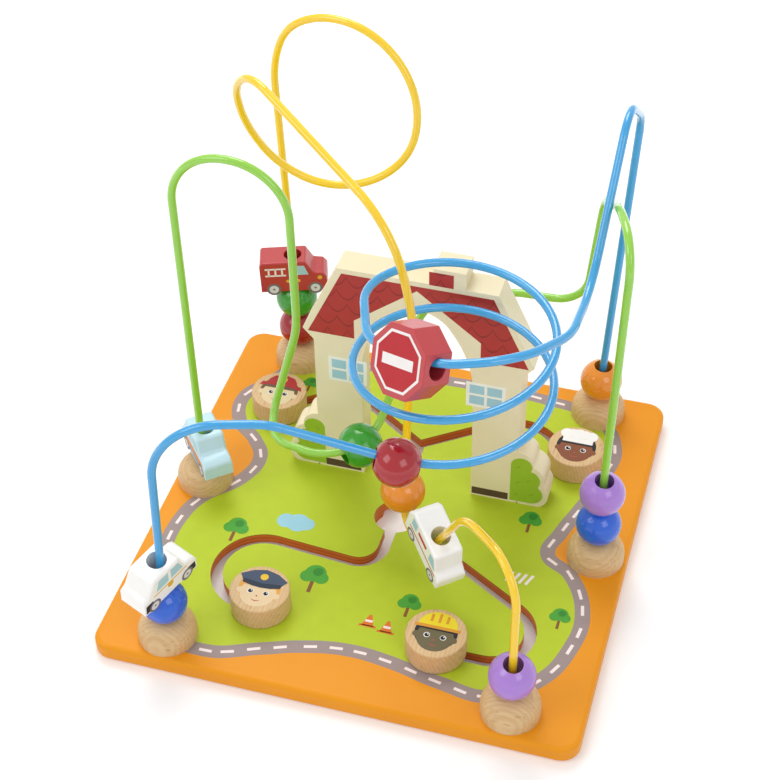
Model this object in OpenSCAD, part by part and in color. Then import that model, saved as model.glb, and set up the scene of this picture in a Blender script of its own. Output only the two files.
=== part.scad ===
// Wire bead maze: a slotted board with sliding figures, a house board and three bent wires with loose pieces.
// The origin is at the centre of the board's underside, +Z is up and the house faces -Y.

/* [Board] */
// Side of the square board
board_w = 300; // [300:1:330]
// Thickness of the board
board_t = 12; // [11:0.5:16]
// Radius of the board's corners
board_corner_r = 12; // [6:1:20]

/* [Slots] */
// Width of the slots that the figures run in
slot_w = 7.5; // [7:0.5:9]
// Width of the channel under the slots
channel_w = 22; // [20:1:24]
// Depth of the channel, from the underside
channel_d = 5; // [4.5:0.5:6]
// Diameter of the round keyhole that lets a guide's foot in
keyhole_d = 28; // [26:1:30]
// Radius of the slot's loop round the police figure
police_loop_r = 28; // [24:1:30]
// Length of the straight slot to the builder figure
builder_run = 28; // [22:1:30]
// Length of the straight slot to the chef figure
chef_run = 28; // [22:1:30]
// Length of the straight slot to the firefighter figure
firefighter_run = 32; // [26:1:34]

/* [Figures] */
// Diameter of a figure's disc
figure_d = 37; // [32:1:38]
// Thickness of a figure's disc
figure_h = 16; // [14:1:18]
// Depth that a guide's stem reaches into its disc
stem_in = 6; // [5:1:8]
// Diameter of a figure's screw
figure_screw_d = 3.2; // [3:0.1:3.5]

/* [Posts] */
// Diameter of a dome post
post_d = 36; // [32:1:37]
// Height of a dome post
post_h = 18; // [16:1:20]
// Radius of the rounding of a dome post's top
post_round = 13; // [8:1:14]
// Distance of a corner post from the board's centre, sideways
corner_x = 106; // [104:1:110]
// Distance of a corner post from the board's centre, front to back
corner_y = 130; // [128:1:131]
// Distance of a middle post from the board's centre, sideways
side_x = 130; // [128:1:131]
// Diameter of the wood screws under the posts and the house
wood_screw_d = 3.5; // [3:0.5:4]

/* [Wires] */
// Diameter of the coated wires
wire_d = 5; // [4:0.5:5.5]
// Depth that a wire's end goes into the board
wire_seat = 8; // [5:1:9]
// Radius of the blue wire's coil
coil_r = 57; // [55:1:58]
// Rise of the blue wire's coil in one turn
coil_pitch = 34; // [33:1:36]

/* [Beads, vehicles and sign] */
// Diameter of a bead
bead_d = 28; // [28:0.5:30]
// Height of a bead between its flat ends
bead_h = 25; // [22:0.5:25]
// Diameter of the bore of the beads, the vehicles and the sign
bore_d = 12; // [11.5:0.5:13]
// Length of a vehicle
vehicle_l = 45; // [42:1:48]
// Height of a vehicle from its belly to its roof
vehicle_h = 24; // [22:1:26]
// Thickness of a vehicle
vehicle_w = 19; // [17:1:20]
// Radius of a vehicle's wheels
wheel_r = 5; // [4:0.5:5.5]
// Width of the road sign across its flats
sign_w = 40; // [36:1:42]
// Thickness of the road sign
sign_t = 20; // [18:1:22]

/* [House] */
// Thickness of the house board
house_t = 18; // [15:1:20]
// Height of the house's roof above the board
house_h = 170; // [165:1:175]
// Half the width of the house's walls
wall_x = 66.5; // [64:0.5:68]
// Half the width of the arch through the house
arch_x = 36; // [32:1:38]
// Height of the arch above the board
arch_h = 148; // [142:1:150]

/* [Hidden] */
$fn = 64;
cut = 1;                                  // how far a cutter runs past a face
rest_gap = 0.3;                           // between a loose piece and what it lies on
run_clearance = 0.05;                     // radial, between a figure's turning pieces
stem_clearance = 0.5;                     // between a stem and each wall of its slot
foot_clearance = 1;                       // between a foot and each wall of its channel
foot_lift = 0.8;                          // from the table to a foot
foot_gap = 0.7;                           // from a foot to the channel's ceiling
screw_head_d = 6;
screw_head_h = 2;
wood_head_d = 7;
wood_screw_sink = 0.5;                    // depth of a wood screw's head below the board's underside
post_screw_off = 10;                      // from a post's axis to its screw
post_screw_in = 8;                        // depth of a wood screw in a post
house_screw_in = 18;                      // depth of a wood screw in the house
house_x = 5;
house_y = 32.5;                           // front face of the house
slot_lap = 0.5;                           // how far a straight slot runs into the next bend
slot_ease = 0.1;                          // extra room on each side of a slot's bends and ends
loose = (bore_d - wire_d) / 2;            // radial play of a piece on its wire
lean = 8;                                 // tilt of the pieces that lie askew on their wires
lean_toward = [0.3, -1, 0];
wire_start = 4;                           // height above a post where its wire starts to lean
wire_start_bend = 80;
joint_d = wire_d + 0.16;
trim = 0.05;
ANY_SIDE = [0.3, 0.5, 0.7];               // for pieces that are round about their own Z
JOINT_TURN = 50;                          // keeps the seams of a wire's solids apart
shortest = 0.9;                           // a straight or bend shorter than this is left out of a wire

stem_d = slot_w - 2 * stem_clearance;
foot_d = channel_w - 2 * foot_clearance;
foot_t = channel_d - foot_lift - foot_gap;
foot_z = foot_lift - board_t;             // underside of a foot, from the board's top

BLUE = "#3C96D2";
GREEN = "#8CC84B";
YELLOW = "#FAD728";
BEECH = "#D9B98A";
CREAM = "#F3E6C4";
STEEL = "#B8BABC";

// Slot network, seen from above
HOLE = [0, 0];
FORK = [-3, 68];
FRONT_BEND = [-16, -28];
FRONT_BEND_R = 16;
POLICE_LOOP = [-68, -68];
POLICE_REST = -71.3;
BUILDER_BEND = [81, -75];
BUILDER_BEND_R = 24;
CHEF_BEND = [60, 76];
CHEF_BEND_R = 30;
CHEF_HEADING = -45;
FIREFIGHTER_BEND = [-62, 74];
FIREFIGHTER_BEND_R = 28;
FIREFIGHTER_HEADING = 217;

function polar(r, a) = [r * cos(a), r * sin(a)];
function heading(a, b) = atan2(b.y - a.y, b.x - a.x);
// Heading from point p to a circle that the path then turns round to the right (side 1) or to the left (side -1)
function tangent_heading(p, c, r, side) = heading(p, c) + side * asin(r / norm(c - p));
// Heading of the line that leaves one circle, a right turn, and joins another, a left turn
function cross_heading(a, ra, b, rb) = heading(a, b) - asin((ra + rb) / norm(b - a));

s_heading = cross_heading(FRONT_BEND, FRONT_BEND_R, POLICE_LOOP, police_loop_r);
builder_in = tangent_heading(HOLE, BUILDER_BEND, BUILDER_BEND_R, 1);
chef_in = tangent_heading(FORK, CHEF_BEND, CHEF_BEND_R, 1);
firefighter_in = tangent_heading(FORK, FIREFIGHTER_BEND, FIREFIGHTER_BEND_R, -1);
chef_turn = CHEF_HEADING - chef_in;
firefighter_turn = FIREFIGHTER_HEADING - firefighter_in;
builder_end = BUILDER_BEND + [0, -BUILDER_BEND_R];
chef_end = CHEF_BEND + polar(CHEF_BEND_R, CHEF_HEADING + 90);
firefighter_end = FIREFIGHTER_BEND + polar(FIREFIGHTER_BEND_R, FIREFIGHTER_HEADING - 90);

police_at = POLICE_LOOP + polar(police_loop_r, POLICE_REST);
builder_at = builder_end - [builder_run, 0];
chef_at = chef_end + polar(chef_run, CHEF_HEADING);
firefighter_at = firefighter_end + polar(firefighter_run, FIREFIGHTER_HEADING);

// Posts, as places on the board
FRONT_LEFT = [-corner_x, -corner_y];
MIDDLE_LEFT = [-side_x, 0];
BACK_LEFT = [-corner_x, corner_y];
BACK_RIGHT = [corner_x, corner_y];
MIDDLE_RIGHT = [side_x, 0];
FRONT_RIGHT = [corner_x, -corner_y];
POSTS = [FRONT_LEFT, MIDDLE_LEFT, BACK_LEFT, BACK_RIGHT, MIDDLE_RIGHT, FRONT_RIGHT];
function screw_place(p) = p - [sign(p.x) * post_screw_off, 0];

// Routes of the wires: x, y, height above the board and bend radius, where -1 is the widest bend that fits
WIDE = -1;
COIL_AT = [44, -31];
COIL_Z = 144.5;
COIL_TILT = 0.03;
COIL_STEP = 30;
function foot_of(p) = [[p.x, p.y, -wire_seat, 0], [p.x, p.y, post_h + wire_start, wire_start_bend]];
function foot_in(p) = [[p.x, p.y, post_h + wire_start, wire_start_bend], [p.x, p.y, -wire_seat, 0]];
function coil_point(a) =
    let (r = coil_r / cos(COIL_STEP / 2))
    [COIL_AT.x + r * cos(a), COIL_AT.y + r * sin(a),
     COIL_Z + coil_pitch * (a + 90) / 360 + COIL_TILT * r * cos(a), WIDE];

BLUE_ROUTE = concat(
    foot_of(FRONT_LEFT),
    [[-101, -130, 176, 42], [-38, -113, 177, 40], [29, -93, 148, 70]],
    [for (a = [-75 : COIL_STEP : 525]) coil_point(a)],
    [[3, -63, 205, 32], [50, -88, 219, 32], [90, -78, 223, 45], [110, -36, 210, 50], [111, 14, 202, 40],
     [114.5, 82, 281, 18], [116, 127, 246, 24]],
    foot_in(BACK_RIGHT));

GREEN_ROUTE = concat(
    foot_of(MIDDLE_LEFT),
    [[-132, 0, 263, 36.5], [-59.5, -4, 263, 34], [-60, 0, 146, 90], [-77, -3, 80, 15], [-74, -19, 68, 14],
     [-14, -26, 64.5, 36], [-10, 48, 84, 30], [-4, 76, 109, 22], [12, 90, 118, 16], [56, 90, 127, 40],
     [97, 90, 128, 22], [104, 90, 210, 25], [120, 40, 241, 45], [133.5, 4, 243, 22]],
    foot_in(MIDDLE_RIGHT));

YELLOW_ROUTE = concat(
    foot_of(BACK_LEFT),
    [[-114, 130, 242, WIDE], [-102, 126, 273, WIDE], [-75, 122, 286, WIDE], [-47, 117, 283, WIDE],
     [-24, 112, 265, WIDE], [-13, 106, 238, WIDE], [-18, 101, 209, WIDE], [-41, 96, 188, WIDE],
     [-71, 91, 184, WIDE], [-98, 85, 200, WIDE], [-114, 76, 232, WIDE], [-114, 64, 267, WIDE],
     [-98, 50, 286, WIDE], [4, -13, 243, 60], [17, -20, 188, 60], [10, -20, 22, 18], [31, -44, 22, 18],
     [65, -83, 103, 40], [106, -130, 120, 24]],
    foot_in(FRONT_RIGHT));

RED_BEAD_BEND = 4;                        // bend of the blue route that the middle red bead lies in
RED_BEAD_ANGLE = 10;                      // how far round that bend the bead lies
SIGN_LEG = 26;                            // stretch of the blue route that the road sign hangs on
SIGN_SHIFT = 6;                           // how far past the middle of that stretch it hangs
GREEN_BEAD_BEND = 7;                      // bend of the green route that the middle green bead lies in
GREEN_BEAD_ANGLE = 58;                    // how far round that bend the bead lies
ORANGE_BEAD_LEG = 16;                     // stretch of the yellow route that the middle orange bead slides on
AMBULANCE_LEG = 18;                       // stretch of the yellow route that the ambulance slides on

// Bends and straights of a route
function unit(v) = v / norm(v);
function spot(route, i) = [route[i].x, route[i].y, route[i].z];
function leg_length(route, i) = norm(spot(route, i + 1) - spot(route, i));
function leg_dir(route, i) = unit(spot(route, i + 1) - spot(route, i));
function is_end(route, i) = i == 0 || i == len(route) - 1;
function turn(route, i) = acos(min(1, leg_dir(route, i - 1) * leg_dir(route, i)));
function widest(route, i) = min(leg_length(route, i - 1), leg_length(route, i)) / 2 / tan(turn(route, i) / 2);
function bend_r(route, i) = route[i][3] == WIDE ? widest(route, i) : route[i][3];
function is_bend(route, i) =
    !is_end(route, i) && turn(route, i) > 0.01 && bend_r(route, i) * turn(route, i) * PI / 180 > shortest;
function setback(route, i) = is_bend(route, i) ? bend_r(route, i) * tan(turn(route, i) / 2) : 0;
function bend_in(route, i) = spot(route, i) - setback(route, i) * leg_dir(route, i - 1);
function bend_side(route, i) =
    let (a = leg_dir(route, i - 1), b = leg_dir(route, i))
    unit(b - (a * b) * a);
function bend_centre(route, i) = bend_in(route, i) + bend_r(route, i) * bend_side(route, i);
// Point and direction on a bend, at an angle from its start
function on_bend(route, i, angle) =
    bend_centre(route, i) + bend_r(route, i)
    * (sin(angle) * leg_dir(route, i - 1) - cos(angle) * bend_side(route, i));
function bend_dir(route, i, angle) = cos(angle) * leg_dir(route, i - 1) + sin(angle) * bend_side(route, i);
// The straight up from a post, at the start or at the end of a route
function rise_dir(route, first) =
    first ? leg_dir(route, 1) : -leg_dir(route, len(route) - 3);
function rise_from(route, first) = spot(route, first ? 1 : len(route) - 2);
function on_rise(route, first, h) = rise_from(route, first) + (h - wire_start) * rise_dir(route, first);
function hang_dir(d) = unit([0, 0, -1] + d.z * d);

module on_board() { translate([0, 0, board_t]) children(); }
// Places a piece with its own Z along dir and its own X towards front
module seat(at, dir, front) {
    z = unit(dir);
    x = unit(front - (front * z) * z);
    y = cross(z, x);
    multmatrix([[x.x, y.x, z.x, at.x], [x.y, y.y, z.y, at.y], [x.z, y.z, z.z, at.z], [0, 0, 0, 1]]) children();
}
module askew() {
    axis = cross([0, 0, 1], lean_toward);
    rotate(a = lean, v = axis) children();
}

// Slots, seen from above
module straight(a, b, w) {
    translate(a) rotate(heading(a, b)) translate([-slot_lap, -w / 2]) square([norm(b - a) + 2 * slot_lap, w]);
}
module round_end(p, w) { translate(p) circle(d = w); }
module arc(c, r, from, angle, w) {
    steps = ceil(abs(angle) / 30);
    reach = 2 * (r + w);
    translate(c) rotate(from) intersection() {
        difference() {
            circle(r + w / 2 + slot_ease);
            circle(r - w / 2 - slot_ease);
        }
        polygon(concat([[0, 0]], [for (i = [0 : steps]) polar(reach, angle * i / steps)]));
    }
}
module slot_network(w) {
    front_start = FRONT_BEND + [FRONT_BEND_R, 0];
    s_start = FRONT_BEND + polar(FRONT_BEND_R, s_heading + 90);
    s_end = POLICE_LOOP + polar(police_loop_r, s_heading - 90);
    straight(HOLE, front_start, w);
    arc(FRONT_BEND, FRONT_BEND_R, 0, s_heading + 90, w);
    straight(s_start, s_end, w);
    arc(POLICE_LOOP, police_loop_r, s_heading - 90, POLICE_REST - s_heading + 90, w);
    round_end(police_at, w + 4 * slot_ease);

    straight(HOLE, BUILDER_BEND + polar(BUILDER_BEND_R, builder_in + 90), w);
    arc(BUILDER_BEND, BUILDER_BEND_R, builder_in + 90, -180 - builder_in, w);
    straight(builder_end, builder_at, w);
    round_end(builder_at, w + 2 * slot_ease);

    straight(HOLE, FORK, w);
    round_end(FORK, w + 1);
    straight(FORK, CHEF_BEND + polar(CHEF_BEND_R, chef_in + 90), w);
    arc(CHEF_BEND, CHEF_BEND_R, chef_in + 90, chef_turn, w);
    straight(chef_end, chef_at, w);
    round_end(chef_at, w + 2 * slot_ease);
    straight(FORK, FIREFIGHTER_BEND + polar(FIREFIGHTER_BEND_R, firefighter_in - 90), w);
    arc(FIREFIGHTER_BEND, FIREFIGHTER_BEND_R, firefighter_in - 90, firefighter_turn, w);
    straight(firefighter_end, firefighter_at, w);
    round_end(firefighter_at, w + 2 * slot_ease);
}

// A countersunk wood screw that stands with its head at the board's underside
module wood_screw(reach) {
    head_h = (wood_head_d - wood_screw_d) / 2;
    translate([0, 0, wood_screw_sink]) {
        cylinder(d1 = wood_head_d, d2 = wood_screw_d, h = head_h);
        cylinder(d = wood_screw_d, h = board_t - wood_screw_sink + reach);
    }
}
module wood_screw_hole() {
    wood_screw(cut);
    translate([0, 0, -cut]) cylinder(d = wood_head_d, h = cut + wood_screw_sink);
}
function house_screw_places() =
    let (leg = (arch_x + wall_x) / 2)
    [for (side = [-1, 1], off = [-7, 7]) [house_x + side * leg + off, house_y + house_t / 2]];

module base_board() {
    inner = board_w - 2 * board_corner_r;
    color("#EFA336") difference() {
        linear_extrude(board_t) {
            square([board_w, inner], center = true);
            square([inner, board_w], center = true);
            for (x = [-1, 1], y = [-1, 1]) translate([x, y] * inner / 2) circle(board_corner_r);
        }
        translate([0, 0, -cut]) {
            linear_extrude(board_t + 2 * cut) slot_network(slot_w);
            linear_extrude(channel_d + cut) slot_network(channel_w);
            cylinder(d = keyhole_d, h = board_t + 2 * cut);
        }
        for (p = POSTS) {
            translate([p.x, p.y, board_t - wire_seat]) cylinder(d = wire_d, h = wire_seat + cut);
            translate(screw_place(p)) wood_screw_hole();
        }
        for (p = house_screw_places()) translate(p) wood_screw_hole();
    }
}

module post_screws() {
    color(STEEL) for (p = POSTS) translate(screw_place(p)) wood_screw(post_screw_in);
}

module post(p) {
    flat_r = post_d / 2 - post_round;
    side_h = post_h - post_round;
    color(BEECH) on_board() translate(p) difference() {
        rotate_extrude() {
            square([flat_r, post_h]);
            square([post_d / 2, side_h]);
            intersection() {
                translate([flat_r, side_h]) circle(post_round);
                translate([flat_r, side_h]) square(post_round);
            }
        }
        translate([0, 0, -cut]) cylinder(d = wire_d, h = post_h + 2 * cut);
        translate(screw_place(p) - p) translate([0, 0, -cut]) cylinder(d = wood_screw_d, h = post_screw_in + cut);
    }
}

module wire_joint(at, dir) { seat(at, dir, ANY_SIDE) rotate(JOINT_TURN) sphere(d = joint_d); }
// Straights and bends stop just short of each other, and a ball a hair wider than the wire joins them
module bent_wire(route) {
    last = len(route) - 2;
    for (i = [0 : last]) {
        dir = leg_dir(route, i);
        from = spot(route, i) + setback(route, i) * dir;
        length = leg_length(route, i) - setback(route, i) - setback(route, i + 1);
        start = i == 0 ? 0 : trim;
        end = i == last ? length : length - trim;
        if (length > shortest) {
            seat(from + start * dir, dir, ANY_SIDE) cylinder(d = wire_d, h = end - start);
            if (i < last) wire_joint(from + length * dir, dir);
            if (i > 0 && is_bend(route, i)) wire_joint(from, dir);
        } else wire_joint(from + length / 2 * dir, dir);
    }
    for (i = [1 : last]) if (is_bend(route, i)) {
        trim_angle = trim / bend_r(route, i) * 180 / PI;
        seat(bend_centre(route, i), cross(leg_dir(route, i - 1), bend_side(route, i)), -bend_side(route, i))
            rotate(trim_angle) rotate_extrude(angle = turn(route, i) - 2 * trim_angle)
                translate([bend_r(route, i), 0]) circle(d = wire_d);
    }
}
module blue_wire() { color(BLUE) on_board() bent_wire(BLUE_ROUTE); }
module green_wire() { color(GREEN) on_board() bent_wire(GREEN_ROUTE); }
module yellow_wire() { color(YELLOW) on_board() bent_wire(YELLOW_ROUTE); }

// House, drawn from its front with the board's top at zero
EAVE_OUT = 7;
EAVE_H = 118;
EAVE_DROP = 8;
RIDGE_X = 50;
CHIMNEY = [10, 30];
CHIMNEY_RISE = 12;
ARCH_SIDE_R = 85;
ARCH_SPRING_H = 88;
BUSH = [[-1, 35, 11], [6, 23, 12], [8.5, 10, 12]];   // lobes: from the wall, height and radius

module arch_outline() {
    rise = arch_h - ARCH_SPRING_H;
    off = ARCH_SIDE_R - arch_x;
    top_r = (pow(ARCH_SIDE_R, 2) - pow(off, 2) - pow(rise, 2)) / (2 * (ARCH_SIDE_R - rise));
    join_h = ARCH_SIDE_R * (rise - top_r) / (ARCH_SIDE_R - top_r);
    translate([-arch_x, -cut]) square([2 * arch_x, ARCH_SPRING_H + cut]);
    translate([0, ARCH_SPRING_H]) {
        intersection() {
            translate([-off, 0]) circle(ARCH_SIDE_R);
            translate([off, 0]) circle(ARCH_SIDE_R);
            translate([-arch_x, 0]) square([2 * arch_x, join_h]);
        }
        translate([0, rise - top_r]) circle(top_r);
    }
}
module bush_outline() {
    intersection() {
        for (lobe = BUSH) translate([wall_x + lobe[0], lobe[1]]) circle(lobe[2]);
        translate([arch_x, 0]) square([wall_x, house_h]);
    }
}
module house_outline() {
    eave_x = wall_x + EAVE_OUT;
    polygon([[-wall_x, 0], [wall_x, 0], [wall_x, EAVE_H - EAVE_DROP], [eave_x, EAVE_H],
             [RIDGE_X, house_h], [-RIDGE_X, house_h], [-eave_x, EAVE_H], [-wall_x, EAVE_H - EAVE_DROP]]);
    translate([CHIMNEY[0], house_h - cut]) square([CHIMNEY[1] - CHIMNEY[0], CHIMNEY_RISE + cut]);
    bush_outline();
    mirror([1, 0]) bush_outline();
}
module house_board() {
    color(CREAM) difference() {
        on_board() translate([house_x, house_y + house_t, 0]) rotate([90, 0, 0]) linear_extrude(house_t)
            difference() {
                house_outline();
                arch_outline();
            }
        for (p = house_screw_places())
            translate([p.x, p.y, board_t - cut]) cylinder(d = wood_screw_d, h = house_screw_in + cut);
    }
}
module house_screws() {
    color(STEEL) for (p = house_screw_places()) translate(p) wood_screw(house_screw_in);
}

// Figures: disc, guide and screw, drawn round the guide's axis with the board's top at zero
screw_recess_h = screw_head_h + 0.2;
stem_top = rest_gap + stem_in;
screw_tip = rest_gap + figure_h - 4;
module figure(at) {
    color(BEECH) on_board() translate(at) difference() {
        translate([0, 0, rest_gap]) cylinder(d = figure_d, h = figure_h);
        cylinder(d = stem_d + 2 * run_clearance, h = stem_top + 0.2);
        cylinder(d = figure_screw_d, h = screw_tip);
    }
}
module guide(at) {
    color("#3A3A3C") on_board() translate(at) difference() {
        union() {
            translate([0, 0, foot_z]) cylinder(d = foot_d, h = foot_t);
            translate([0, 0, foot_z]) cylinder(d = stem_d, h = stem_top - foot_z);
        }
        translate([0, 0, foot_z - cut]) {
            cylinder(d = screw_head_d + 0.4, h = screw_recess_h + cut);
            cylinder(d = figure_screw_d + 2 * run_clearance, h = stem_top - foot_z + 2 * cut);
        }
    }
}
module figure_screw(at) {
    color(STEEL) on_board() translate([at.x, at.y, foot_z]) {
        cylinder(d = screw_head_d, h = screw_head_h);
        cylinder(d = figure_screw_d, h = screw_tip - foot_z);
    }
}
module police_figure() { figure(police_at); }
module police_guide() { guide(police_at); }
module police_screw() { figure_screw(police_at); }
module builder_figure() { figure(builder_at); }
module builder_guide() { guide(builder_at); }
module builder_screw() { figure_screw(builder_at); }
module chef_figure() { figure(chef_at); }
module chef_guide() { guide(chef_at); }
module chef_screw() { figure_screw(chef_at); }
module firefighter_figure() { figure(firefighter_at); }
module firefighter_guide() { guide(firefighter_at); }
module firefighter_screw() { figure_screw(firefighter_at); }

// Beads
module bead() {
    difference() {
        intersection() {
            sphere(d = bead_d);
            cylinder(d = bead_d, h = bead_h, center = true);
        }
        cylinder(d = bore_d, h = bead_h + 2 * cut, center = true);
    }
}
// Height of the underside of piece number k on a post, with beads below it
function pile(k) = rest_gap + k * (bead_h + rest_gap);
// How far a piece that lies askew is raised, so that its lower edge clears the bead or dome below
function lean_rise(r) = r * sin(lean);
bead_flat_r = sqrt(pow(bead_d, 2) - pow(bead_h, 2)) / 2;
module piled_bead(route, first, k) {
    on_board() seat(on_rise(route, first, pile(k) + bead_h / 2), rise_dir(route, first), [1, 0, 0]) bead();
}
module piled_bead_askew(route, first, k) {
    h = pile(k) + bead_h / 2 + lean_rise(bead_flat_r);
    on_board() seat(on_rise(route, first, h), rise_dir(route, first), [1, 0, 0]) askew() bead();
}
module blue_bead_front_left() { color("#285ACD") piled_bead(BLUE_ROUTE, true, 0); }
module orange_bead_back_right() { color("#EB962D") piled_bead(BLUE_ROUTE, false, 0); }
module blue_bead_middle_right() { color("#285ACD") piled_bead(GREEN_ROUTE, false, 0); }
module lavender_bead_middle_right() { color("#AF82D7") piled_bead_askew(GREEN_ROUTE, false, 1); }
module red_bead_back_left() { color("#B4232D") piled_bead(YELLOW_ROUTE, true, 0); }
module green_bead_back_left() { color("#3CA028") piled_bead(YELLOW_ROUTE, true, 1); }
module lavender_bead_front_right() { color("#AF82D7") piled_bead_askew(YELLOW_ROUTE, false, 0); }

// The middle red and green beads hang in bends of the blue and the green wire
module bead_in_bend(route, i, angle) {
    dir = bend_dir(route, i, angle);
    sag = pow(bead_h, 2) / (8 * bend_r(route, i));
    // The wire leaves the bead's ends by its sag, towards the bend's centre, which a hanging bead has to allow for
    inward = unit(bend_centre(route, i) - on_bend(route, i, angle));
    up_share = -inward * hang_dir(dir);
    hang = sqrt(pow(loose - rest_gap, 2) - pow(sag, 2) * (1 - pow(up_share, 2))) - sag * up_share;
    on_board() seat(on_bend(route, i, angle) + hang * hang_dir(dir), dir, [0, 0, 1]) bead();
}
module red_bead_centre() { color("#B4232D") bead_in_bend(BLUE_ROUTE, RED_BEAD_BEND, RED_BEAD_ANGLE); }
module green_bead_centre() { color("#3CA028") bead_in_bend(GREEN_ROUTE, GREEN_BEAD_BEND, GREEN_BEAD_ANGLE); }
// The middle orange bead stands on the bend at the foot of the yellow wire's drop
ORANGE_BEAD_DIP = 7;                      // how far the bend reaches into the bead
ORANGE_BEAD_SHIFT = [-0.8, 0.9, 0];       // brings its lower rim against the bend
module orange_bead_centre() {
    dir = -leg_dir(YELLOW_ROUTE, ORANGE_BEAD_LEG);
    bend = setback(YELLOW_ROUTE, ORANGE_BEAD_LEG + 1);
    at = spot(YELLOW_ROUTE, ORANGE_BEAD_LEG + 1) + (bend - ORANGE_BEAD_DIP + bead_h / 2) * dir;
    color("#EB962D") on_board() seat(at + ORANGE_BEAD_SHIFT, dir, [1, 0, 0]) bead();
}

// Vehicles: side outlines with the belly at zero and the front to the right
WHEEL_X = 14;
WHEEL_Z = 2;
module vehicle(outline) {
    difference() {
        rotate([90, 0, 0]) linear_extrude(vehicle_w, center = true) {
            polygon([for (p = outline) [p.x * vehicle_l / 2, p.y * vehicle_h]]);
            for (x = [-WHEEL_X, WHEEL_X]) translate([x, WHEEL_Z]) circle(wheel_r);
        }
        translate([0, 0, -WHEEL_Z - wheel_r]) cylinder(d = bore_d, h = vehicle_h + 2 * wheel_r);
    }
}
// Outline points as shares of half the length and of the height
CAR = [[-1, 0], [1, 0], [1, 0.4], [0.84, 0.52], [0.58, 0.56], [0.4, 1], [-0.6, 1], [-0.84, 0.56], [-1, 0.48]];
VAN = [[-1, 0], [1, 0], [1, 0.38], [0.76, 0.5], [0.54, 1], [-0.84, 1], [-1, 0.8]];
ENGINE = [[-1, 0], [1, 0], [1, 0.44], [0.88, 0.58], [0.6, 0.62], [0.38, 1], [-0.94, 1], [-1, 0.92]];
POLICE_FRONT = [0.36, 0.93, 0];
FIRE_ENGINE_FRONT = [0.95, 0.3, 0];
BLUE_CAR_FRONT = [0.64, -0.77, 0];
POLICE_CAR_SHIFT = [-2.3, 1.3, 0];         // off the middle of its wire
module police_car() {
    h = pile(1) + lean_rise(bead_flat_r + norm(POLICE_CAR_SHIFT));
    at = on_rise(BLUE_ROUTE, true, h) + POLICE_CAR_SHIFT;
    color("white") on_board() seat(at, rise_dir(BLUE_ROUTE, true), [1, 0, 0])
        askew() rotate(heading([0, 0], POLICE_FRONT)) vehicle(CAR);
}
module fire_engine() {
    color("#B93232") on_board()
        seat(on_rise(YELLOW_ROUTE, true, pile(2)), rise_dir(YELLOW_ROUTE, true), FIRE_ENGINE_FRONT)
            vehicle(ENGINE);
}
// The blue car stands over its dome on its wheels, to one side of its wire
BLUE_CAR_RISE = 3;
BLUE_CAR_SHIFT = [2.6, 1.6, 0];
module blue_car() {
    at = on_rise(GREEN_ROUTE, true, rest_gap + BLUE_CAR_RISE) + BLUE_CAR_SHIFT;
    color("#C8E6F0") on_board() seat(at, rise_dir(GREEN_ROUTE, true), BLUE_CAR_FRONT) vehicle(CAR);
}
// The ambulance hangs nose down on the yellow wire's slope, with its bore's edges near the wire
AMBULANCE_LIFT = 9;
AMBULANCE_PITCH = 10;
AMBULANCE_DROP = 1;
module ambulance() {
    dir = leg_dir(YELLOW_ROUTE, AMBULANCE_LEG);
    up = cos(AMBULANCE_PITCH) * dir - sin(AMBULANCE_PITCH) * hang_dir(dir);
    rise = setback(YELLOW_ROUTE, AMBULANCE_LEG) + AMBULANCE_LIFT + vehicle_h / 2;
    low = spot(YELLOW_ROUTE, AMBULANCE_LEG) + rise * dir - vehicle_h / 2 * up + AMBULANCE_DROP * hang_dir(dir);
    color("white") on_board() seat(low, up, hang_dir(dir)) vehicle(VAN);
}

// Road sign: its bore runs across it and its face looks along its own X
SIGN_FACE = [0, -0.88, 0.47];
module road_sign() {
    dir = leg_dir(BLUE_ROUTE, SIGN_LEG);
    mid = (spot(BLUE_ROUTE, SIGN_LEG) + spot(BLUE_ROUTE, SIGN_LEG + 1)) / 2 + SIGN_SHIFT * dir;
    color("#B93237") on_board() seat(mid + (loose - rest_gap) * hang_dir(dir), dir, SIGN_FACE) difference() {
        rotate([0, 90, 0]) rotate(22.5)
            cylinder(d = sign_w / cos(22.5), h = sign_t, center = true, $fn = 8);
        cylinder(d = bore_d, h = sign_w + 2 * cut, center = true);
    }
}

base_board();
post(FRONT_LEFT);  // post_front_left
post(MIDDLE_LEFT);  // post_middle_left
post(BACK_LEFT);  // post_back_left
post(BACK_RIGHT);  // post_back_right
post(MIDDLE_RIGHT);  // post_middle_right
post(FRONT_RIGHT);  // post_front_right
post_screws();
blue_wire();
green_wire();
yellow_wire();
house_board();
house_screws();
police_figure();
police_guide();
police_screw();
builder_figure();
builder_guide();
builder_screw();
chef_figure();
chef_guide();
chef_screw();
firefighter_figure();
firefighter_guide();
firefighter_screw();
blue_bead_front_left();
police_car();
red_bead_centre();
road_sign();
orange_bead_back_right();
blue_car();
green_bead_centre();
blue_bead_middle_right();
lavender_bead_middle_right();
red_bead_back_left();
green_bead_back_left();
fire_engine();
orange_bead_centre();
ambulance();
lavender_bead_front_right();
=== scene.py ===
"""Wire bead maze on a slotted board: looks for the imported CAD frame, in metres, +Z up, house facing -Y."""
import math

import bmesh
import bpy
from mathutils import Matrix, Vector


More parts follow.
